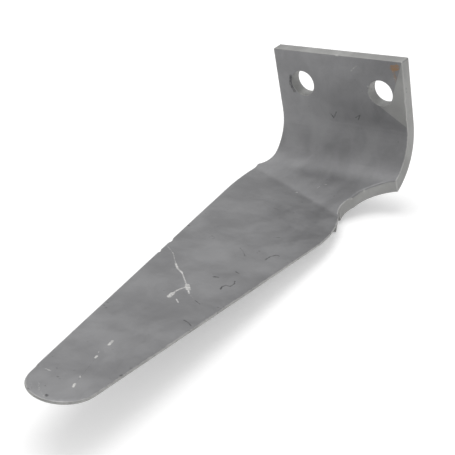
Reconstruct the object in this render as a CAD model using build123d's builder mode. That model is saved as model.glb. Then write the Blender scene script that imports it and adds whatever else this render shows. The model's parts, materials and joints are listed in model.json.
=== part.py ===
from build123d import *
from math import asin, atan2, cos, hypot, radians, sin, tan
import os

os.makedirs("parts", exist_ok=True)

# A harrow tine, pressed and bent from one flat steel bar.
# Origin: middle of the bolt pattern, on the seating face of the flange.
# X runs along the row of holes, Y along the bolts, Z up the flange.
# The blade leaves the flange towards -Y. All sizes are in millimetres.

# Flat bar and bolt flange
plate_thickness = 8.5
flange_width = 100.0
flare_spare = 10.0          # what the blank is wider on each side, for the flare
hole_spacing = 61.0
hole_diameter = 17.5
pattern_offset = 1.5        # the bolt pattern sits this far right of the flange's middle
top_margin = 23.5           # hole centres up to the top edge
bend_drop = 22.0            # hole centres down to the start of the bend

# First bend, across the whole bar
bend_radius = 31.0          # inside radius, on the blade side
neck_angle = 84.0           # turn from the flange to the neck

# Second bend, a shallow crease running askew over the neck
crease_distance = 25.0      # from the end of the first bend, measured at the bolt pattern's middle
crease_skew = 19.5          # the right end of the crease lies farther out
crease_angle = 22.7         # the blade lifts by this much from the neck
crease_radius = 10.0        # inside radius

# Blade, seen square on, its axis running from the root to the tip
blade_swing = 32.7          # axis turned to the right of the crease's square
root_shift = -6.3           # root centre, along the crease
root_width = 93.4
blade_length = 297.5        # root centre to the tip
tip_radius = 16.6
lobe_run = 75.0             # the right edge is straight beyond this distance from the root
shoulder_run = 25.0         # the left edge is straight beyond this distance from the root

# Left outline of the neck: X across and the distance out from the end of the first bend
flare_start = -14.4         # the left edge leaves the straight side here
flare_end = (-62.6, 2.0)    # the flare crosses the blade's left edge before this point

# Relief notch: depth in from the bar's right side and the distance out from the end of the first bend
notch_corner = (0, -8.3)
notch_upper = (11.3, -1.6)
notch_side = (19.4, 15.2)
notch_lower = (21.2, 27.0)
notch_end = (13.7, 38.7)    # the notch crosses the blade's right edge before this point

# Ends of the blade's edges, across and along its axis, where the neck's outline takes over
shoulder = (-46.1, -40.0)
lobe_start = (31.2, 13.0)

# Edges
edge_land = 1.6             # what the ground edge leaves of the thickness
grind_width = 13.0          # width of the ground band under the blade's edges
grind_spare = 2.0           # how far the cutter stands clear of the blade
lobe_ground = 0.75          # share of the lobe's arc that is ground
shoulder_ground = 0.5       # share of the shoulder's arc that is ground
top_round = 0.8             # rolled-over rims of the flange's top edge
hole_round = 0.5            # and of the bolt holes
notch_round = 1.5           # upper rim of the notch, rolled over by the punch

# Derived places
left_side = -flange_width / 2 - pattern_offset
right_side = flange_width / 2 - pattern_offset
notch_points = [
    (right_side - depth, out)
    for depth, out in (notch_corner, notch_upper, notch_side, notch_lower, notch_end)
]
reach = flange_width + blade_length                 # past everything, for cuts that run out
clear = bend_radius + plate_thickness               # right through the bar, and short of the blade
grind_slope = (plate_thickness - edge_land) / grind_width

bend_end = (
    0,
    -plate_thickness - bend_radius * (1 - cos(radians(neck_angle))),
    -bend_drop - bend_radius * sin(radians(neck_angle)),
)
# Local axes of this plane: X across, Y out along the neck, Z into the plate from its upper face
neck_plane = Plane(
    origin=bend_end,
    x_dir=(1, 0, 0),
    z_dir=(0, cos(radians(neck_angle)), -sin(radians(neck_angle))),
)
crease_frame = neck_plane.location * Location((0, crease_distance, 0), (0, 0, crease_skew))
blade_frame = (
    crease_frame
    * Location((0, 0, 0), (-crease_angle, 0, 0))
    * Location((root_shift, 0, 0), (0, 0, -blade_swing))
)
blade_plane = Plane(blade_frame)

# The blade's straight edges touch the tip's circle
half_root = root_width / 2
tip_centre = blade_length - tip_radius
half_taper = atan2(half_root, tip_centre) - asin(tip_radius / hypot(half_root, tip_centre))


def edge_half_width(run):
    """Half the blade's width at a distance from its root."""
    return half_root - run * tan(half_taper)


tip_touch = (tip_radius * cos(half_taper), tip_centre + tip_radius * sin(half_taper))
crease_setback = crease_radius * tan(radians(crease_angle) / 2)

# The blade's edge, seen square on: lobe, right side, tip, left side and shoulder
with BuildLine() as blade_edge:
    right_straight = Line((edge_half_width(lobe_run), lobe_run), tip_touch)
    right_lobe = TangentArc(right_straight @ 0, lobe_start, tangent=-1 * (right_straight % 0))
    tip = ThreePointArc(tip_touch, (0, blade_length), (-tip_touch[0], tip_touch[1]))
    left_straight = Line(tip @ 1, (-edge_half_width(shoulder_run), shoulder_run))
    left_shoulder = TangentArc(left_straight @ 1, shoulder, tangent=left_straight % 1)

# The stretch of it that is ground
with BuildLine() as ground_edge:
    add(right_lobe.trim(0, lobe_ground))
    add([right_straight, tip, left_straight])
    add(left_shoulder.trim(0, shoulder_ground))
ground_path = blade_plane.location * ground_edge.wires()[0]

with BuildPart() as harrow_tine:
    # Flange, first bend and neck as one bent section
    with BuildSketch(Plane.YZ.offset(-pattern_offset)):
        with BuildLine():
            back_flange = Line((0, top_margin), (0, -bend_drop))
            back_bend = JernArc(
                back_flange @ 1, (0, -1), bend_radius + plate_thickness, -neck_angle
            )
            back_neck = Line(back_bend @ 1, back_bend @ 1 + (back_bend % 1) * flange_width)
            front_flange = Line((-plate_thickness, top_margin), (-plate_thickness, -bend_drop))
            front_bend = JernArc(front_flange @ 1, (0, -1), bend_radius, -neck_angle)
            front_neck = Line(front_bend @ 1, front_bend @ 1 + (front_bend % 1) * flange_width)
            Line(back_flange @ 0, front_flange @ 0)
            Line(back_neck @ 1, front_neck @ 1)
        make_face()
    extrude(amount=flange_width / 2 + flare_spare, both=True)

    # The neck ends where the crease begins
    with BuildSketch(Plane(crease_frame)):
        with Locations((0, -crease_setback)):
            Rectangle(reach, reach, align=(Align.CENTER, Align.MIN))
    extrude(amount=clear, both=True, mode=Mode.SUBTRACT)

    # Crease and blade as a second bent section
    with BuildSketch(Plane(crease_frame * Location((0, 0, 0), (0, 90, 0)))):
        with BuildLine():
            upper_start = Vector(0, -crease_setback)
            upper_crease = JernArc(upper_start, (0, 1), crease_radius, -crease_angle)
            upper_blade = Line(upper_crease @ 1, upper_crease @ 1 + (upper_crease % 1) * reach)
            lower_start = Vector(-plate_thickness, -crease_setback)
            lower_crease = JernArc(
                lower_start, (0, 1), crease_radius + plate_thickness, -crease_angle
            )
            lower_blade = Line(lower_crease @ 1, lower_crease @ 1 + (lower_crease % 1) * reach)
            Line(upper_start, lower_start)
            Line(upper_blade @ 1, lower_blade @ 1)
        make_face()
    extrude(amount=blade_length, both=True)

    # Sides of the flange and the bend, the left one flaring out to the blade's shoulder
    with BuildSketch(neck_plane):
        with BuildLine():
            side_edge = Line((left_side, -reach), (left_side, flare_start))
            flare = TangentArc(side_edge @ 1, flare_end, tangent=(0, 1))
            Polyline(flare @ 1, (-reach, reach), (-reach, -reach), side_edge @ 0)
        make_face()
    extrude(amount=reach, both=True, mode=Mode.SUBTRACT)

    # Relief notch on the right, from the flange's lower corner in to the blade's lobe
    with BuildSketch(neck_plane):
        with BuildLine():
            corner, upper, side, lower, end = notch_points
            right_edge = Line((right_side, -reach), corner)
            ThreePointArc(corner, upper, side)
            ThreePointArc(side, lower, end)
            Polyline(end, (reach, end[1]), (reach, -reach), right_edge @ 0)
        make_face()
    extrude(amount=reach, both=True, mode=Mode.SUBTRACT)

    # The blade's outline, open towards the neck
    with BuildSketch(blade_plane):
        with BuildLine():
            add(blade_edge.line)
            Polyline(
                lobe_start,
                (reach, lobe_start[1]),
                (reach, -reach),
                (-reach, -reach),
                (-reach, shoulder[1]),
                shoulder,
            )
        make_face()
    extrude(amount=reach, both=True, mode=Mode.INTERSECT)

    # Band ground off the underside, along both edges and around the tip
    with BuildSketch(Plane(origin=ground_path @ 0, x_dir=blade_plane.z_dir, z_dir=ground_path % 0)):
        with BuildLine():
            Polyline(
                (edge_land - grind_slope * grind_spare, -grind_spare),
                (plate_thickness + grind_spare, -grind_spare),
                (plate_thickness + grind_spare, grind_width + grind_spare / grind_slope),
                close=True,
            )
        make_face()
    sweep(path=ground_path, mode=Mode.SUBTRACT)

    # Bolt holes
    with BuildSketch(Plane.XZ):
        with GridLocations(hole_spacing, 0, 2, 1):
            Circle(hole_diameter / 2)
    extrude(amount=clear, both=True, mode=Mode.SUBTRACT)

    # Rims of the flange's top edge and of the bolt holes
    fillet(harrow_tine.faces().sort_by(Axis.Z)[-1].edges(), top_round)
    round_edges = harrow_tine.edges().filter_by(GeomType.CIRCLE)
    fillet(round_edges.filter_by(lambda edge: edge.radius == hole_diameter / 2), hole_round)

    # The notch's upper rim beside the flange, on the side that the punch came from
    upward = Axis(bend_end, -1 * neck_plane.z_dir)
    neck_walls = harrow_tine.faces().filter_by(GeomType.CYLINDER).filter_by(
        lambda face: face.axis_of_rotation.is_parallel(upward)
    )
    notch_wall = neck_walls.filter_by(lambda face: face.center().X > 0).sort_by(Axis.Y)[-1]
    fillet(notch_wall.edges().sort_by(upward)[-1], notch_round)

harrow_tine.part.label = "harrow_tine"
export_step(harrow_tine.part, "parts/harrow_tine.step")
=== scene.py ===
"""The looks of a harrow tine: bent flat steel with mill scale, scuffed rims with a painted highlight, nicks and
scratches.
"""

import json
import logging
import math
from dataclasses import dataclass
from enum import Enum

import bmesh
import bpy
from mathutils import Matrix, Vector, kdtree, noise

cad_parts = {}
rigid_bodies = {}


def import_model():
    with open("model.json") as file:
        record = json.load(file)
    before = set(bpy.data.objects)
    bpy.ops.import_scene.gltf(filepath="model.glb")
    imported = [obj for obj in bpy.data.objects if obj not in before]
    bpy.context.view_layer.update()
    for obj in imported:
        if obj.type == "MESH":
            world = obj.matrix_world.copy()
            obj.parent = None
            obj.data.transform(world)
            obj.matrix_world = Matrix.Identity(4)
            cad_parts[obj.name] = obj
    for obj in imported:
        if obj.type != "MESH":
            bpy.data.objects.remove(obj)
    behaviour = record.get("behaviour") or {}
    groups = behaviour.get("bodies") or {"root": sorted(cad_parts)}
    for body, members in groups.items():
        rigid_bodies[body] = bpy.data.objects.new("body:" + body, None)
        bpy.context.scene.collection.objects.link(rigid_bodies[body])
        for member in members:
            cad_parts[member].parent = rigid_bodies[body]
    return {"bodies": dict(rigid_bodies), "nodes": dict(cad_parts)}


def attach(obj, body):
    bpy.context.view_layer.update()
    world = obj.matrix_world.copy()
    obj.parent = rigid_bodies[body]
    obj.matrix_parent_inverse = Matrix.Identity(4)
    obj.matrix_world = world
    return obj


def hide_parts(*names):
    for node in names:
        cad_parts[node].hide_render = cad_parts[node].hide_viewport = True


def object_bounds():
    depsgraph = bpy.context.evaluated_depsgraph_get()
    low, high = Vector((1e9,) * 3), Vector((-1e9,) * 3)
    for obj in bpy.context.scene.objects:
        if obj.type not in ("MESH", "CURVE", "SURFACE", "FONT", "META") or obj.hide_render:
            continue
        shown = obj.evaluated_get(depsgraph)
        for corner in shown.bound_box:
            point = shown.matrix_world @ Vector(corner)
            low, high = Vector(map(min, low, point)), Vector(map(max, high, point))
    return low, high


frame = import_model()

CAD_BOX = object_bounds()
NODE = "harrow_tine"
MM = 0.001
log = logging.getLogger("harrow_tine")


class Face(Enum):
    """The flat stretches of the bar that marks are placed on."""

    FLANGE = "flange"
    NECK = "neck"
    BLADE = "blade"


class Tone(Enum):
    """What a mark left on the steel; a few strokes are painted shading and painted highlights instead."""

    BARE_AND_HIGHLIGHT = "bare_and_highlight"
    DARK = "dark"
    RUST = "rust"


@dataclass(frozen=True)
class TineFrame:
    """The places of the tine's flat stretches, from its driving sizes in millimetres."""

    plate: float = 8.5
    bend_drop: float = 22.0
    bend_radius: float = 31.0
    neck_turn: float = 84.0
    crease_distance: float = 25.0
    crease_skew: float = 19.5
    crease_turn: float = 22.7
    root_shift: float = -6.3
    blade_swing: float = 32.7

    def flange(self) -> Matrix:
        """The flange's front face: X across, Y up, Z out towards the blade."""
        return Matrix.Translation((0, -self.plate, 0)) @ Matrix.Rotation(math.pi / 2, 4, "X")

    def neck(self) -> Matrix:
        """The neck's upper face: X across, Y out from the bend, Z down into the bar.

        Returns:
            The face's frame, with its origin at the end of the bend.
        """
        turn = math.radians(self.neck_turn)
        origin = (
            0,
            -self.plate - self.bend_radius * (1 - math.cos(turn)),
            -self.bend_drop - self.bend_radius * math.sin(turn),
        )
        return Matrix.Translation(origin) @ Matrix.Rotation(1.5 * math.pi - turn, 4, "X")

    def blade(self) -> Matrix:
        """The blade's upper face: X across, Y along to the tip, Z down into the bar.

        Returns:
            The face's frame, with its origin at the blade's root.
        """
        crease = (
            self.neck()
            @ Matrix.Translation((0, self.crease_distance, 0))
            @ Matrix.Rotation(math.radians(self.crease_skew), 4, "Z")
        )
        lifted = crease @ Matrix.Rotation(-math.radians(self.crease_turn), 4, "X")
        shifted = lifted @ Matrix.Translation((self.root_shift, 0, 0))
        return shifted @ Matrix.Rotation(-math.radians(self.blade_swing), 4, "Z")

    def on(self, face: Face) -> Matrix:
        """The frame of one of the flat faces."""
        return {Face.FLANGE: self.flange, Face.NECK: self.neck, Face.BLADE: self.blade}[face]()

    def place(self, face: Face, across: float, along: float) -> Vector:
        """A point on a face.

        Args:
            face: The face it lies on.
            across: Millimetres to the right of the face's axis.
            along: Millimetres along the face's axis.

        Returns:
            The point in metres, in the tine's frame.
        """
        return (self.on(face) @ Vector((across, along, 0))) * MM


TINE = TineFrame()


@dataclass(frozen=True)
class Mark:
    """A scratch, curl or spot, or a stroke of painted shading or painted highlight: a line through a few points of
    a face, in millimetres.
    """

    name: str
    face: Face
    tone: Tone
    width: float
    strength: float
    points: tuple[tuple[float, float], ...]
    broken: float = 0.5

    def run(self) -> list[Vector]:
        """The mark's points in metres, in the tine's frame."""
        return [TINE.place(self.face, across, along) for across, along in self.points]


BLADE_MARKS = (
    Mark("long_scratch_top", Face.BLADE, Tone.BARE_AND_HIGHLIGHT, 0.7, 0.5, ((-31, 130), (-24, 136.5), (-16.8, 147.3))),
    Mark("long_scratch", Face.BLADE, Tone.BARE_AND_HIGHLIGHT, 1.0, 1.0, ((-16.8, 147.3), (-13, 152.3), (-8.5, 155.8))),
    Mark("long_scratch_mid", Face.BLADE, Tone.BARE_AND_HIGHLIGHT, 0.7, 0.8, ((-8.5, 155.8), (-3, 163.1), (1, 168.5))),
    Mark("scratch_blot", Face.BLADE, Tone.BARE_AND_HIGHLIGHT, 2.4, 1.0, ((0.6, 167.5), (3.2, 171.5))),
    Mark("long_scratch_end", Face.BLADE, Tone.BARE_AND_HIGHLIGHT, 0.9, 0.8, ((3.2, 171.5), (5.7, 175.4))),
    Mark("scratch_tail", Face.BLADE, Tone.BARE_AND_HIGHLIGHT, 0.6, 0.35, ((5.7, 175.4), (11.7, 180.6))),
    Mark("scratch_dark_end", Face.BLADE, Tone.DARK, 0.7, 0.6, ((11.7, 180.6), (15.8, 183))),
    Mark("side_blot", Face.BLADE, Tone.BARE_AND_HIGHLIGHT, 2.2, 0.85, ((-0.9, 184.8), (-1.2, 180.5))),
    Mark("side_blot_neck", Face.BLADE, Tone.BARE_AND_HIGHLIGHT, 1.4, 0.55, ((-1.2, 180.5), (-0.8, 175.1), (0.8, 170.5))),
    Mark("side_blot_drop", Face.BLADE, Tone.BARE_AND_HIGHLIGHT, 1.0, 0.6, ((3.6, 185.2), (6.2, 188.2))),
    Mark("curl_low", Face.BLADE, Tone.DARK, 0.9, 0.8, ((16.9, 161.3), (16.3, 158.3), (17.2, 155.3))),
    Mark("curl_high", Face.BLADE, Tone.DARK, 0.8, 0.7, ((17.2, 155.3), (19.7, 155.5), (20.2, 151.1), (19.1, 148))),
    Mark("speck_left", Face.BLADE, Tone.DARK, 2.2, 0.55, ((7.6, 149.7), (9.5, 149.2))),
    Mark("speck_right", Face.BLADE, Tone.DARK, 1.0, 0.6, ((14.7, 137), (17, 138))),
    Mark("hook", Face.BLADE, Tone.DARK, 0.8, 0.75, ((16.9, 202.9), (19.5, 203.6), (22.3, 205.9))),
    Mark("bow", Face.BLADE, Tone.DARK, 0.8, 0.65, ((21.6, 112.9), (22.1, 106.9), (24, 102.4), (26.2, 102.7))),
    Mark("comma", Face.BLADE, Tone.DARK, 0.8, 0.45, ((3.1, 106.1), (6.5, 109.4), (10.3, 115))),
    Mark("ring", Face.BLADE, Tone.DARK, 0.8, 0.45, ((-17.8, 103.5), (-17.3, 100.6), (-14.7, 102), (-15.2, 105.1))),
    Mark("dash", Face.BLADE, Tone.DARK, 0.7, 0.5, ((12.9, 80), (16.2, 77.3))),
    Mark("light_dash", Face.BLADE, Tone.BARE_AND_HIGHLIGHT, 0.7, 0.25, ((25.5, 89.3), (28.4, 87.1))),
    Mark("small_ring", Face.BLADE, Tone.DARK, 0.9, 0.5, ((-5, 35.2), (-1.4, 35.7))),
    Mark("faint_patch", Face.BLADE, Tone.DARK, 2.6, 0.3, ((-20.8, 85.1), (-18.6, 81.4))),
    Mark("tip_chain_a", Face.BLADE, Tone.BARE_AND_HIGHLIGHT, 1.1, 0.7, ((5.9, 283), (5.1, 280.3))),
    Mark("tip_chain_b", Face.BLADE, Tone.BARE_AND_HIGHLIGHT, 0.8, 0.45, ((4.2, 275.4), (3.6, 274.1))),
    Mark("tip_chain_dark", Face.BLADE, Tone.DARK, 0.7, 0.35, ((4.8, 279), (2.6, 266), (1.4, 259))),
    Mark("tip_chain_c", Face.BLADE, Tone.BARE_AND_HIGHLIGHT, 1.2, 0.7, ((0.8, 257.4), (0.6, 255.7))),
    Mark("tip_chain_d", Face.BLADE, Tone.BARE_AND_HIGHLIGHT, 0.8, 0.45, ((-0.5, 252.9), (-0.9, 251.6))),
    Mark("tip_chain_e", Face.BLADE, Tone.BARE_AND_HIGHLIGHT, 1.3, 0.75, ((-0.2, 244.2), (-0.7, 240.2))),
    Mark("tip_streak", Face.BLADE, Tone.BARE_AND_HIGHLIGHT, 1.0, 0.4, ((-13, 277.3), (-9.1, 277.4))),
    # A painted highlight along the inner border of the tip's edge band.
    Mark("tip_band_highlight", Face.BLADE, Tone.BARE_AND_HIGHLIGHT, 1.2, 0.3, ((-9, 286.8), (-4.2, 293), (-0.1, 295.5))),
    Mark("tip_speck", Face.BLADE, Tone.DARK, 1.6, 0.7, ((0.3, 294.2), (0.6, 294.6))),
)
NECK_MARKS = (
    Mark("tick", Face.NECK, Tone.BARE_AND_HIGHLIGHT, 1.0, 0.65, ((-22.2, 21.6), (-20, 25.8))),
    Mark("feather", Face.NECK, Tone.BARE_AND_HIGHLIGHT, 1.5, 0.75, ((-15.9, 27.6), (-13.3, 25.4), (-9.9, 22.1))),
    Mark("faint_feather", Face.NECK, Tone.BARE_AND_HIGHLIGHT, 0.7, 0.25, ((-38.6, 19.2), (-31.6, 18.3))),
    Mark("nip", Face.NECK, Tone.BARE_AND_HIGHLIGHT, 0.9, 0.4, ((0.5, 13.2), (0.9, 10.2))),
    Mark("nip_right", Face.NECK, Tone.BARE_AND_HIGHLIGHT, 0.8, 0.5, ((2.5, 7.7), (4.8, 7.5))),
)
FLANGE_MARKS = (
    Mark("rust_corner", Face.FLANGE, Tone.RUST, 4.6, 0.7, ((41.6, 18.6), (44, 19.4)), 0.7),
    Mark("rust_run", Face.FLANGE, Tone.RUST, 3.4, 0.4, ((41.4, 16.5), (43.6, 9.5)), 0.7),
    Mark("dry_smear", Face.FLANGE, Tone.BARE_AND_HIGHLIGHT, 2.6, 0.28, ((40.4, 17), (42, 12), (45.4, 6.5)), 0.8),
    Mark("scuff", Face.FLANGE, Tone.BARE_AND_HIGHLIGHT, 1.2, 0.35, ((9.5, 13.2), (14.2, 17.3)), 0.8),
    Mark("mould_curl_a", Face.FLANGE, Tone.DARK, 1.0, 0.5, ((-11.1, -19.5), (-8.3, -22.9), (-6, -18.1))),
    Mark("mould_curl_b", Face.FLANGE, Tone.DARK, 1.0, 0.5, ((8.8, -20.5), (13, -17.7), (11, -21.6))),
    # These two strokes paint the shading and the highlight on the holes' rolled rims.
    Mark("hole_shade_left", Face.FLANGE, Tone.DARK, 2.6, 0.75, ((-39.9, 4.3), (-40.9, -1.5), (-38.6, -6.5)), 0.2),
    Mark("hole_highlight_right", Face.FLANGE, Tone.BARE_AND_HIGHLIGHT, 1.8, 0.3, ((21.4, 4.6), (20.9, -1.5), (23.4, -6.5)), 0.4),
)
MARKS = BLADE_MARKS + NECK_MARKS + FLANGE_MARKS


@dataclass(frozen=True)
class Nick:
    """A dent knocked into an edge, in millimetres. Its push is across and along the face."""

    name: str
    face: Face
    spot: tuple[float, float]
    push: tuple[float, float]
    reach: float
    depth: float

    def centre(self) -> Vector:
        """The dent's middle in metres, in the tine's frame."""
        return TINE.place(self.face, *self.spot)

    def way(self) -> Vector:
        """The direction that the edge was pushed in."""
        return (TINE.on(self.face).to_3x3() @ Vector((*self.push, 0))).normalized()


NICKS = (
    Nick("left_edge_upper", Face.BLADE, (-34.2, 121.5), (1, 0.3), 4.6, 0.9),
    Nick("left_edge_lower", Face.BLADE, (-31.9, 138.5), (1, 0), 2.6, 0.8),
    Nick("right_edge_far", Face.BLADE, (27.2, 208), (-1, 0), 2.4, 0.6),
    Nick("right_edge_mid", Face.BLADE, (30.5, 180), (-1, 0), 1.8, 0.5),
    Nick("right_edge_near", Face.BLADE, (33.2, 151.7), (-1, 0), 1.8, 0.4),
    Nick("flange_top", Face.FLANGE, (0.3, 23.5), (0, -1), 2.2, 0.5),
    Nick("flange_side", Face.FLANGE, (48.5, -4), (-1, 0), 2.4, 0.4),
    Nick("flange_side_low", Face.FLANGE, (48.5, -16), (-1, 0), 1.8, 0.4),
)


class Sockets:
    """Short ways to make and join shader nodes in one node tree."""

    def __init__(self, tree: bpy.types.NodeTree) -> None:
        """Keeps the tree to work in."""
        self.tree = tree

    def node(self, kind: str, **settings: object) -> bpy.types.Node:
        """A new node.

        Args:
            kind: The node's type name.
            **settings: Attributes to set on it.

        Returns:
            The node.
        """
        made = self.tree.nodes.new(kind)
        for name, value in settings.items():
            setattr(made, name, value)
        return made

    def feed(self, socket: bpy.types.NodeSocket, value: object) -> None:
        """Links an output to a socket, or sets the socket's own value."""
        if isinstance(value, bpy.types.NodeSocket):
            self.tree.links.new(value, socket)
        else:
            socket.default_value = value

    def math(self, operation: str, *values: object, clamp: bool = False) -> bpy.types.NodeSocket:
        """The output of a Math node on these values."""
        made = self.node("ShaderNodeMath", operation=operation, use_clamp=clamp)
        for socket, value in zip(made.inputs, values):
            self.feed(socket, value)
        return made.outputs[0]

    def vector(self, operation: str, *values: object) -> bpy.types.Node:
        """A Vector Math node on these values."""
        made = self.node("ShaderNodeVectorMath", operation=operation)
        for socket, value in zip(made.inputs, values):
            self.feed(socket, value)
        return made

    def ramp(self, value: object, low: float, high: float) -> bpy.types.NodeSocket:
        """A smooth rise from 0 at low to 1 at high.

        Args:
            value: What to read.
            low: Where the rise starts.
            high: Where it ends; a high below low makes a fall.

        Returns:
            The output, from 0 to 1.
        """
        made = self.node("ShaderNodeMapRange", interpolation_type="SMOOTHSTEP")
        self.feed(made.inputs["Value"], value)
        start, end = (low, high) if low < high else (high, low)
        made.inputs["From Min"].default_value = start
        made.inputs["From Max"].default_value = end
        made.inputs["To Min"].default_value = 0.0 if low < high else 1.0
        made.inputs["To Max"].default_value = 1.0 if low < high else 0.0
        return made.outputs["Result"]

    def mix(self, factor: object, first: object, second: object, blend: str = "MIX") -> bpy.types.NodeSocket:
        """The colour output of a Mix node.

        Args:
            factor: How much of the second colour shows.
            first: The colour at factor 0.
            second: The colour at factor 1.
            blend: The blend type.

        Returns:
            The mixed colour.
        """
        made = self.node("ShaderNodeMix", data_type="RGBA", blend_type=blend)
        colours = [s for s in made.inputs if s.type == "RGBA"]
        self.feed(made.inputs[0], factor)
        self.feed(colours[0], first)
        self.feed(colours[1], second)
        return next(s for s in made.outputs if s.type == "RGBA")

    def noise(self, vector: object, scale: float, detail: float, rough: float = 0.55) -> bpy.types.NodeSocket:
        """The value of a noise texture.

        Args:
            vector: Where to read it.
            scale: Features per metre.
            detail: Octaves.
            rough: How strong the fine octaves are.

        Returns:
            The value, about 0.5 on average.
        """
        made = self.node("ShaderNodeTexNoise")
        self.feed(made.inputs["Vector"], vector)
        made.inputs["Scale"].default_value = scale
        made.inputs["Detail"].default_value = detail
        made.inputs["Roughness"].default_value = rough
        return made.outputs["Fac"]

    def group(self, tree: bpy.types.NodeTree, **values: object) -> bpy.types.Node:
        """A node group placed in this tree.

        Args:
            tree: The group.
            **values: Its inputs by name, with underscores for spaces.

        Returns:
            The group node.
        """
        made = self.node("ShaderNodeGroup", node_tree=tree)
        for name, value in values.items():
            self.feed(made.inputs[name.replace("_", " ")], value)
        return made


class EffectGroup:
    """A shader node group with named inputs and outputs, built once."""

    title = "effect"
    inputs: tuple[tuple[str, str, object], ...] = ()
    outputs: tuple[tuple[str, str], ...] = ()

    def __init__(self) -> None:
        """Makes the group's sockets and nodes."""
        self.tree = bpy.data.node_groups.new(self.title, "ShaderNodeTree")
        for name, kind, value in self.inputs:
            made = self.tree.interface.new_socket(name=name, in_out="INPUT", socket_type=kind)
            if value is not None:
                made.default_value = value
        for name, kind in self.outputs:
            self.tree.interface.new_socket(name=name, in_out="OUTPUT", socket_type=kind)
        self.make = Sockets(self.tree)
        self.given = self.make.node("NodeGroupInput").outputs
        self.result = self.make.node("NodeGroupOutput").inputs
        self.build()

    def build(self) -> None:
        """Makes the group's nodes; each effect has its own."""
        raise NotImplementedError


class ScaleTone(EffectGroup):
    """Mill scale: cloudy tone, rolling smears and fine grain."""

    title = "scale_tone"
    inputs = (
        ("Position", "NodeSocketVector", None),
        ("Cloud Scale", "NodeSocketFloat", 26.0),
        ("Smear Scale", "NodeSocketFloat", 60.0),
    )
    outputs = (
        ("Cloud", "NodeSocketFloat"),
        ("Smear", "NodeSocketFloat"),
        ("Grain", "NodeSocketFloat"),
        ("Pits", "NodeSocketFloat"),
    )
    stretch = (1.0, 0.32, 0.6)
    grain_per_metre = 900.0
    pit_per_metre = 260.0

    def build(self) -> None:
        """Four readings of noise at the scales that the steel shows."""
        make, given = self.make, self.given
        wobble = make.node("ShaderNodeTexNoise")
        make.feed(wobble.inputs["Vector"], given["Position"])
        wobble.inputs["Scale"].default_value = 40.0
        wobble.inputs["Detail"].default_value = 2.0
        shift = make.vector("MULTIPLY_ADD", wobble.outputs["Color"], (0.02,) * 3, given["Position"]).outputs[0]
        cloud = make.node("ShaderNodeTexNoise")
        make.feed(cloud.inputs["Vector"], shift)
        make.feed(cloud.inputs["Scale"], given["Cloud Scale"])
        cloud.inputs["Detail"].default_value = 5.0
        cloud.inputs["Roughness"].default_value = 0.6
        make.feed(self.result["Cloud"], cloud.outputs["Fac"])
        stretched = make.vector("MULTIPLY", shift, self.stretch).outputs[0]
        smear = make.node("ShaderNodeTexNoise")
        make.feed(smear.inputs["Vector"], stretched)
        make.feed(smear.inputs["Scale"], given["Smear Scale"])
        smear.inputs["Detail"].default_value = 6.0
        smear.inputs["Roughness"].default_value = 0.65
        make.feed(self.result["Smear"], smear.outputs["Fac"])
        make.feed(self.result["Grain"], make.noise(given["Position"], self.grain_per_metre, 3.0, 0.7))
        cells = make.node("ShaderNodeTexVoronoi", feature="F1")
        make.feed(cells.inputs["Vector"], given["Position"])
        cells.inputs["Scale"].default_value = self.pit_per_metre
        near = make.ramp(cells.outputs["Distance"], 0.24, 0.06)
        chance = make.ramp(make.noise(given["Position"], 70.0, 2.0), 0.58, 0.7)
        make.feed(self.result["Pits"], make.math("MULTIPLY", near, chance))


class BrokenMark(EffectGroup):
    """A mark broken up along its length, from the coverage that the mesh carries."""

    title = "broken_mark"
    inputs = (
        ("Position", "NodeSocketVector", None),
        ("Cover", "NodeSocketFloat", 0.0),
        ("Broken", "NodeSocketFloat", 0.5),
    )
    outputs = (("Mask", "NodeSocketFloat"),)

    def build(self) -> None:
        """Ragged borders and gaps by two scales of noise."""
        make, given = self.make, self.given
        ragged = make.math("MULTIPLY_ADD", make.noise(given["Position"], 900.0, 3.0, 0.7), 0.9, -0.45)
        solid = make.ramp(make.math("ADD", given["Cover"], ragged), 0.25, 0.6)
        gaps = make.ramp(make.noise(given["Position"], 480.0, 2.0, 0.6), 0.4, 0.58)
        missing = make.math("MULTIPLY", given["Broken"], make.math("SUBTRACT", 1.0, gaps))
        covered = make.math("MULTIPLY", solid, make.ramp(given["Cover"], 0.02, 0.3))
        make.feed(self.result["Mask"], make.math("MULTIPLY", covered, make.math("SUBTRACT", 1.0, missing)))


class RimWearAndSheen(EffectGroup):
    """Where rims turn bright, from the distance to the nearest rim: partly scuffed steel, partly a painted
    highlight along the rounded rims.
    """

    title = "rim_wear_and_sheen"
    inputs = (
        ("Position", "NodeSocketVector", None),
        ("Distance", "NodeSocketFloat", 1.0),
        ("Width", "NodeSocketFloat", 0.0008),
    )
    outputs = (("Worn And Lit", "NodeSocketFloat"), ("Chips", "NodeSocketFloat"))

    def build(self) -> None:
        """A thin bright line, part scuffing and part painted highlight, and scattered chips."""
        make, given = self.make, self.given
        share = make.math("DIVIDE", given["Distance"], given["Width"])
        ragged = make.math("ADD", share, make.math("MULTIPLY", make.noise(given["Position"], 300.0, 4.0), 1.2))
        make.feed(self.result["Worn And Lit"], make.ramp(ragged, 1.9, 0.9))
        spots = make.ramp(make.noise(given["Position"], 210.0, 3.0, 0.6), 0.6, 0.68)
        near = make.ramp(share, 2.6, 0.6)
        make.feed(self.result["Chips"], make.math("MULTIPLY", spots, near))


@dataclass(frozen=True)
class Effects:
    """The shader groups that the finishes share."""

    scale: bpy.types.NodeTree
    mark: bpy.types.NodeTree
    rim: bpy.types.NodeTree

    @classmethod
    def make(cls) -> "Effects":
        """Builds each group once."""
        return cls(ScaleTone().tree, BrokenMark().tree, RimWearAndSheen().tree)


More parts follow.
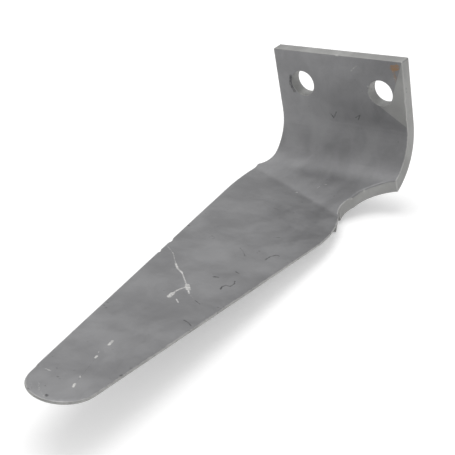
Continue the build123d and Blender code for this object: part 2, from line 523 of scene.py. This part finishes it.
@dataclass(frozen=True)
class SteelFinish:
    """One surface of the steel: its grey, how cloudy it is and how dull."""

    title: str
    dark: tuple[float, float, float]
    light: tuple[float, float, float]
    # The bright grey below serves scuffs and scratches, and also paints highlights on the rims, at one hole rim and
    # at the tip; the dark grey after it serves dark marks and pits, and also paints shading at one hole rim.
    bare_and_highlight: tuple[float, float, float] = (0.62, 0.615, 0.6)
    dark_mark_and_shade: tuple[float, float, float] = (0.075, 0.075, 0.078)
    rust: tuple[float, float, float] = (0.33, 0.2, 0.11)
    rough_low: float = 0.4
    rough_high: float = 0.56
    metallic: float = 0.55
    bump: float = 0.12
    # The rim lines' strength also sets how bright the painted highlight along the rims is.
    wear: float = 0.5
    marked: bool = False

    def build(self, effects: Effects) -> bpy.types.Material:
        """Makes the material.

        Args:
            effects: The shared shader groups.

        Returns:
            The material.
        """
        material = bpy.data.materials.new(self.title)
        material.use_nodes = True
        tree = material.node_tree
        make = Sockets(tree)
        shader = tree.nodes["Principled BSDF"]
        position = make.node("ShaderNodeTexCoord").outputs["Object"]
        tone = make.group(effects.scale, Position=position)
        rim = make.node("ShaderNodeAttribute", attribute_name="rim")
        worn_and_lit = make.group(effects.rim, Position=position, Distance=rim.outputs["Fac"])
        cloudy = make.ramp(tone.outputs["Cloud"], 0.32, 0.68)
        smeared = make.ramp(tone.outputs["Smear"], 0.3, 0.7)
        level = make.math("MULTIPLY_ADD", smeared, 0.4, make.math("MULTIPLY", cloudy, 0.6))
        colour = make.mix(level, (*self.dark, 1), (*self.light, 1))
        pits = make.math("MULTIPLY", tone.outputs["Pits"], 0.45)
        colour = make.mix(pits, colour, (*self.dark_mark_and_shade, 1))
        # Rim lines in the bright grey: scuffed edges together with a painted highlight along every rounded rim.
        rubbed_and_lit = make.math("MULTIPLY", worn_and_lit.outputs["Worn And Lit"], self.wear)
        colour = make.mix(rubbed_and_lit, colour, (*self.bare_and_highlight, 1))
        height = make.math("MULTIPLY_ADD", tone.outputs["Grain"], 0.25, make.math("MULTIPLY", tone.outputs["Smear"], 0.8))
        height = make.math("SUBTRACT", height, make.math("MULTIPLY", tone.outputs["Pits"], 0.3))
        scratched_and_lit: object = 0.0
        if self.marked:
            # Most strokes are marks on the steel; the hole-rim strokes and the tip's band line paint shading and
            # highlights.
            for kind, paint in ((Tone.DARK, self.dark_mark_and_shade), (Tone.RUST, self.rust), (Tone.BARE_AND_HIGHLIGHT, self.bare_and_highlight)):
                cover = make.node("ShaderNodeAttribute", attribute_name=kind.value).outputs["Fac"]
                mask = make.group(effects.mark, Position=position, Cover=cover).outputs["Mask"]
                colour = make.mix(mask, colour, (*paint, 1))
                if kind is Tone.BARE_AND_HIGHLIGHT:
                    scratched_and_lit = mask
                    height = make.math("MULTIPLY_ADD", mask, 0.4, height)
                if kind is Tone.DARK:
                    height = make.math("MULTIPLY_ADD", mask, -0.5, height)
        make.feed(shader.inputs["Base Color"], colour)
        rough = make.node("ShaderNodeMapRange")
        make.feed(rough.inputs["Value"], make.math("MULTIPLY_ADD", tone.outputs["Grain"], 0.3, smeared))
        rough.inputs["To Min"].default_value = self.rough_low
        rough.inputs["To Max"].default_value = self.rough_high
        make.feed(shader.inputs["Roughness"], rough.outputs["Result"])
        metal = make.math("SUBTRACT", self.metallic, make.math("MULTIPLY", scratched_and_lit, self.metallic * 0.8))
        make.feed(shader.inputs["Metallic"], metal)
        bump = make.node("ShaderNodeBump")
        bump.inputs["Strength"].default_value = self.bump
        bump.inputs["Distance"].default_value = 0.0004
        make.feed(bump.inputs["Height"], height)
        make.feed(shader.inputs["Normal"], bump.outputs["Normal"])
        return material


SCALED_STEEL = SteelFinish("scaled_steel", (0.2, 0.2, 0.205), (0.31, 0.31, 0.316), marked=True)
CUT_STEEL = SteelFinish(
    "cut_steel", (0.27, 0.27, 0.265), (0.42, 0.42, 0.41), rough_low=0.42, rough_high=0.6, bump=0.3, wear=0.35
)
GROUND_STEEL = SteelFinish(
    "ground_steel", (0.27, 0.27, 0.27), (0.38, 0.38, 0.38), rough_low=0.34, rough_high=0.5, metallic=0.75, bump=0.25
)
FINISHES = (SCALED_STEEL, CUT_STEEL, GROUND_STEEL)


@dataclass
class HarrowTine:
    """The tine's visible body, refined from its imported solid. Sizes are in millimetres."""

    rim_round: float = 0.5
    rim_steps: int = 3
    rim_angle: float = 38.0
    rim_sample: float = 0.8
    cell: float = 2.2
    fine_steps: int = 2
    fine_margin: float = 1.6
    flat_angle: float = 0.3
    hole_spacing: float = 61.0
    hole_radius: float = 8.75
    hole_rim: float = 0.7
    swell: float = 0.16
    swell_span: float = 38.0
    ripple: float = 0.035
    ripple_span: float = 8.0
    waver: float = 0.3
    waver_span: float = 12.0
    waver_reach: float = 3.0
    groove: float = 0.06
    band_depth: float = 0.4
    band_root: float = 6.3
    band_tip: float = 3.4
    blade_length: float = 297.5
    level: float = 0.03

    def build(self, effects: Effects) -> bpy.types.Object:
        """Makes and dresses the tine.

        Args:
            effects: The shared shader groups.

        Returns:
            The object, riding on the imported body.
        """
        mesh = self.mesh()
        tine = bpy.data.objects.new("tine", mesh)
        bpy.context.scene.collection.objects.link(tine)
        for finish in FINISHES:
            mesh.materials.append(finish.build(effects))
        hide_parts(NODE)
        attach(tine, next(iter(frame["bodies"])))
        log.info("tine: %d faces", len(mesh.polygons))
        return tine

    def mesh(self) -> bpy.types.Mesh:
        """The refined mesh, with its rims rounded, its faces cut into cells and its wear shaped."""
        form = bmesh.new()
        form.from_mesh(frame["nodes"][NODE].data)
        bmesh.ops.remove_doubles(form, verts=form.verts, dist=1e-6)
        flat = math.radians(self.flat_angle)
        bmesh.ops.dissolve_limit(form, angle_limit=flat, verts=form.verts, edges=form.edges)
        self.choose_finishes(form)
        rims = self.rim_points(form)
        self.round_rims(form)
        self.cut_cells(form)
        bmesh.ops.triangulate(form, faces=form.faces)
        self.refine(form)
        self.shape(form, rims)
        for face in form.faces:
            face.smooth = True
        mesh = bpy.data.meshes.new("tine")
        form.to_mesh(mesh)
        form.free()
        mesh.set_sharp_from_angle(angle=math.radians(self.rim_angle))
        return mesh

    def choose_finishes(self, form: bmesh.types.BMesh) -> None:
        """Gives each face of the solid its finish: rolled plate, cut side or ground band."""
        top = max(vert.co.z for vert in form.verts)
        down = TINE.blade().to_3x3() @ Vector((0, 0, 1))
        crease = TINE.neck().to_3x3() @ Matrix.Rotation(math.radians(TINE.crease_skew), 3, "Z") @ Vector((1, 0, 0))
        for face in form.faces:
            normal, centre = face.normal, face.calc_center_median()
            in_hole = any(
                math.hypot(centre.x - side * self.hole_spacing / 2 * MM, centre.z)
                < (self.hole_radius + self.hole_rim) * MM
                and centre.y > -(TINE.plate + 1) * MM
                for side in (-1, 1)
            )
            flat = abs(normal.x) < self.level or abs(normal.dot(crease)) < self.level
            if in_hole or (normal.z > 0.5 and centre.z > top - MM):
                finish = CUT_STEEL
            elif flat or normal.dot(down) < -0.25:
                finish = SCALED_STEEL
            elif 0.5 < normal.dot(down) < 0.97:
                finish = GROUND_STEEL
            else:
                finish = CUT_STEEL
            face.material_index = FINISHES.index(finish)

    def sharp_edges(self, form: bmesh.types.BMesh) -> list[bmesh.types.BMEdge]:
        """The rims that the solid leaves sharp."""
        return [edge for edge in form.edges if math.degrees(edge.calc_face_angle(0)) > self.rim_angle]

    def rim_points(self, form: bmesh.types.BMesh) -> kdtree.KDTree:
        """Points along every sharp rim, to measure distances from."""
        points = []
        for edge in self.sharp_edges(form):
            start, end = (vert.co for vert in edge.verts)
            count = max(1, int(edge.calc_length() / (self.rim_sample * MM)))
            points += [start.lerp(end, step / count) for step in range(count + 1)]
        tree = kdtree.KDTree(len(points))
        for index, point in enumerate(points):
            tree.insert(point, index)
        tree.balance()
        return tree

    def round_rims(self, form: bmesh.types.BMesh) -> None:
        """Rounds every sharp rim of the solid."""
        bmesh.ops.bevel(
            form,
            geom=self.sharp_edges(form),
            offset=self.rim_round * MM,
            offset_type="OFFSET",
            segments=self.rim_steps,
            profile=0.5,
            affect="EDGES",
            clamp_overlap=False,
            material=-1,
        )
        log.info("rims rounded: %d faces", len(form.faces))

    def cut_cells(self, form: bmesh.types.BMesh) -> None:
        """Cuts the faces into small cells with parallel planes, so that wear can shape them."""
        low, high = CAD_BOX
        for axis in range(3):
            normal = Vector([1.0 if i == axis else 0.0 for i in range(3)])
            count = int((high[axis] - low[axis]) / (self.cell * MM))
            for step in range(1, count + 1):
                place = normal * (low[axis] + step * self.cell * MM)
                geometry = form.verts[:] + form.edges[:] + form.faces[:]
                bmesh.ops.bisect_plane(form, geom=geometry, dist=1e-7, plane_co=place, plane_no=normal)

    def refine(self, form: bmesh.types.BMesh) -> None:
        """Divides the cells near marks and nicks, so that those have true forms."""
        runs = [(mark.width / 2, mark.run()) for mark in MARKS]
        runs += [(nick.reach, [nick.centre()]) for nick in NICKS]
        for step in range(self.fine_steps):
            margin = self.fine_margin + self.cell / 2 ** (step + 1)
            near = {
                edge
                for face in form.faces
                if any(run_gap(face.calc_center_median(), run) < (size + margin) * MM for size, run in runs)
                for edge in face.edges
            }
            bmesh.ops.subdivide_edges(form, edges=list(near), cuts=1, use_grid_fill=True)
            bmesh.ops.triangulate(form, faces=form.faces)
        log.info("refined: %d faces", len(form.faces))

    def shape(self, form: bmesh.types.BMesh, rims: kdtree.KDTree) -> None:
        """Moves the surface by forging unevenness, edge wear and nicks, and keeps the marks' cover.

        Args:
            form: The mesh being made.
            rims: Points along the sharp rims.
        """
        form.normal_update()
        rim = form.verts.layers.float.new("rim")
        cover = {tone: form.verts.layers.float.new(tone.value) for tone in Tone}
        runs = [(mark, mark.run()) for mark in MARKS]
        nicks = [(nick, nick.centre(), nick.way()) for nick in NICKS]
        to_blade = TINE.blade().inverted()
        moves = []
        for vert in form.verts:
            place, normal = vert.co.copy(), vert.normal.copy()
            gap = rims.find(place)[2]
            vert[rim] = gap
            for mark, run in runs:
                half = mark.width / 2 * MM
                away = run_gap(place, run)
                if away < 2 * half:
                    share = min(1.0, max(0.0, 1.5 - away / half)) * mark.strength
                    vert[cover[mark.tone]] = max(vert[cover[mark.tone]], share)
            depth = self.unevenness(place) + self.band(to_blade @ (place / MM), gap / MM)
            depth += self.groove * vert[cover[Tone.DARK]]
            move = -normal * depth * MM
            for nick, centre, way in nicks:
                fall = 1 - (place - centre).length / (nick.reach * MM)
                if fall > 0:
                    move += way * nick.depth * MM * fall * fall * (3 - 2 * fall)
            moves.append((vert, move))
        for vert, move in moves:
            vert.co += move

    def unevenness(self, place: Vector) -> float:
        """How far the surface lies under the true form.

        Args:
            place: The point in metres.

        Returns:
            The depth in millimetres, never above the true form.
        """
        at = place / MM
        swell = 0.5 + 0.5 * noise.noise(at / self.swell_span)
        ripple = 0.5 + 0.5 * noise.noise(at / self.ripple_span + Vector((7, 3, 1)))
        return self.swell * swell + self.ripple * ripple

    def band(self, at: Vector, gap: float) -> float:
        """The slight fall of the blade's upper face along its right edge and its tip.

        Args:
            at: The point in the blade's frame, in millimetres.
            gap: Its distance from the nearest rim, in millimetres.

        Returns:
            The depth in millimetres.
        """
        along = at.y / self.blade_length
        if not -1 < at.z < 1 or along < 0.12 or (at.x < 0 and along < 0.93):
            return 0.0
        width = self.band_root + (self.band_tip - self.band_root) * along
        return self.band_depth * max(0.0, 1 - gap / width) ** 1.5


def run_gap(place: Vector, run: list[Vector]) -> float:
    """The distance from a point to a line through several points.

    Args:
        place: The point.
        run: The line's points, one or more.

    Returns:
        The smallest distance, in the points' unit.
    """
    if len(run) == 1:
        return (place - run[0]).length
    best = math.inf
    for start, end in zip(run, run[1:]):
        way = end - start
        share = max(0.0, min(1.0, (place - start).dot(way) / way.length_squared))
        best = min(best, (place - start - way * share).length)
    return best


@dataclass
class Studio:
    """A pale floor, soft light and the camera. Lengths are in metres and angles in degrees."""

    image: int = 455
    focal_pixels: float = 1000.0
    sensor: float = 36.0
    place: tuple[float, float, float] = (0.35972, -0.51558, 0.26035)
    azimuth: float = 43.803
    elevation: float = 29.495
    roll: float = -11.112
    look_down: float = 23.5
    floor_size: float = 8.0
    floor_gap: float = 0.0004
    floor_grey: float = 0.8
    floor_lift: float = 0.36
    sky: float = 0.62
    lamp_power: float = 9.0
    lamp_size: float = 1.1
    lamp_height: float = 1.3

    def camera(self) -> bpy.types.Object:
        """Places the camera as the photograph was taken.

        Returns:
            The camera.
        """
        lens = bpy.data.cameras.new("camera")
        lens.sensor_width = self.sensor
        lens.lens = self.focal_pixels / self.image * self.sensor
        lens.clip_start = 0.01
        lens.clip_end = 20.0
        camera = bpy.data.objects.new("camera", lens)
        bpy.context.scene.collection.objects.link(camera)
        upright = Matrix.Rotation(math.radians(self.azimuth), 4, "Z")
        tilted = upright @ Matrix.Rotation(math.radians(90 - self.elevation), 4, "X")
        rolled = tilted @ Matrix.Rotation(math.radians(self.roll), 4, "Z")
        camera.matrix_world = Matrix.Translation(self.place) @ rolled
        bpy.context.scene.camera = camera
        return camera

    def ground(self, camera: bpy.types.Object) -> Matrix:
        """The floor that the tine lies on, level in the photograph.

        Args:
            camera: The scene's camera.

        Returns:
            A frame with its origin under the tine and Z up from the floor.
        """
        turn = camera.matrix_world.to_3x3()
        look = math.radians(self.look_down)
        up = turn @ Vector((0, math.cos(look), math.sin(look)))
        across = turn @ Vector((1, 0, 0))
        ahead = up.cross(across)
        mesh = frame["nodes"][NODE].data
        low = min(vert.co.dot(up) for vert in mesh.vertices) - self.floor_gap
        middle = (CAD_BOX[0] + CAD_BOX[1]) / 2
        origin = middle + up * (low - middle.dot(up))
        axes = Matrix((across, ahead, up)).transposed().to_4x4()
        return Matrix.Translation(origin) @ axes

    def floor(self, ground: Matrix) -> None:
        """Lays the floor, pale to the eye and in reflections, and clear from below."""
        half = self.floor_size / 2
        mesh = bpy.data.meshes.new("floor")
        corners = [(-half, -half, 0), (half, -half, 0), (half, half, 0), (-half, half, 0)]
        mesh.from_pydata(corners, [], [(0, 1, 2, 3)])
        floor = bpy.data.objects.new("floor", mesh)
        floor.matrix_world = ground
        bpy.context.scene.collection.objects.link(floor)
        material = bpy.data.materials.new("floor_white")
        material.use_nodes = True
        tree = material.node_tree
        make = Sockets(tree)
        tree.nodes.remove(tree.nodes["Principled BSDF"])
        plain = make.node("ShaderNodeBsdfDiffuse")
        plain.inputs["Color"].default_value = (self.floor_grey,) * 3 + (1,)
        glow = make.node("ShaderNodeEmission")
        make.feed(glow.inputs["Strength"], make.math("MULTIPLY", seen_rays(make), self.floor_lift))
        both = make.node("ShaderNodeAddShader")
        make.feed(both.inputs[0], plain.outputs[0])
        make.feed(both.inputs[1], glow.outputs[0])
        clear = make.node("ShaderNodeBsdfTransparent")
        side = make.node("ShaderNodeMixShader")
        make.feed(side.inputs[0], make.node("ShaderNodeNewGeometry").outputs["Backfacing"])
        make.feed(side.inputs[1], both.outputs[0])
        make.feed(side.inputs[2], clear.outputs[0])
        make.feed(tree.nodes["Material Output"].inputs["Surface"], side.outputs[0])
        mesh.materials.append(material)

    def world(self) -> None:
        """An even sky, white where it is seen."""
        world = bpy.data.worlds.new("sky")
        bpy.context.scene.world = world
        world.use_nodes = True
        make = Sockets(world.node_tree)
        background = world.node_tree.nodes["Background"]
        background.inputs["Color"].default_value = (1, 1, 1, 1)
        lift = make.math("MULTIPLY_ADD", make.node("ShaderNodeLightPath").outputs["Is Camera Ray"], 1 - self.sky, self.sky)
        make.feed(background.inputs["Strength"], lift)

    def lamp(self, ground: Matrix) -> None:
        """Hangs one wide soft lamp over the tine."""
        light = bpy.data.lights.new("lamp", "AREA")
        light.shape = "SQUARE"
        light.size = self.lamp_size
        light.energy = self.lamp_power
        lamp = bpy.data.objects.new("lamp", light)
        lamp.matrix_world = ground @ Matrix.Translation((-0.2, 0.3, self.lamp_height))
        bpy.context.scene.collection.objects.link(lamp)

    def build(self) -> None:
        """Makes the camera, the sky, the lamp and the floor."""
        ground = self.ground(self.camera())
        self.world()
        self.lamp(ground)
        self.floor(ground)
        bpy.context.scene.view_settings.view_transform = "Standard"
        log.info("studio ready")


def seen_rays(make: Sockets) -> bpy.types.NodeSocket:
    """1 for the rays that see a surface directly, by reflection or through glass."""
    path = make.node("ShaderNodeLightPath").outputs
    both = make.math("ADD", path["Is Camera Ray"], path["Is Glossy Ray"])
    return make.math("ADD", both, path["Is Transmission Ray"], clamp=True)


def main() -> None:
    """Builds the studio and the tine."""
    logging.basicConfig(level=logging.INFO)
    Studio().build()
    HarrowTine().build(Effects.make())


if __name__ == "__main__":
    main()
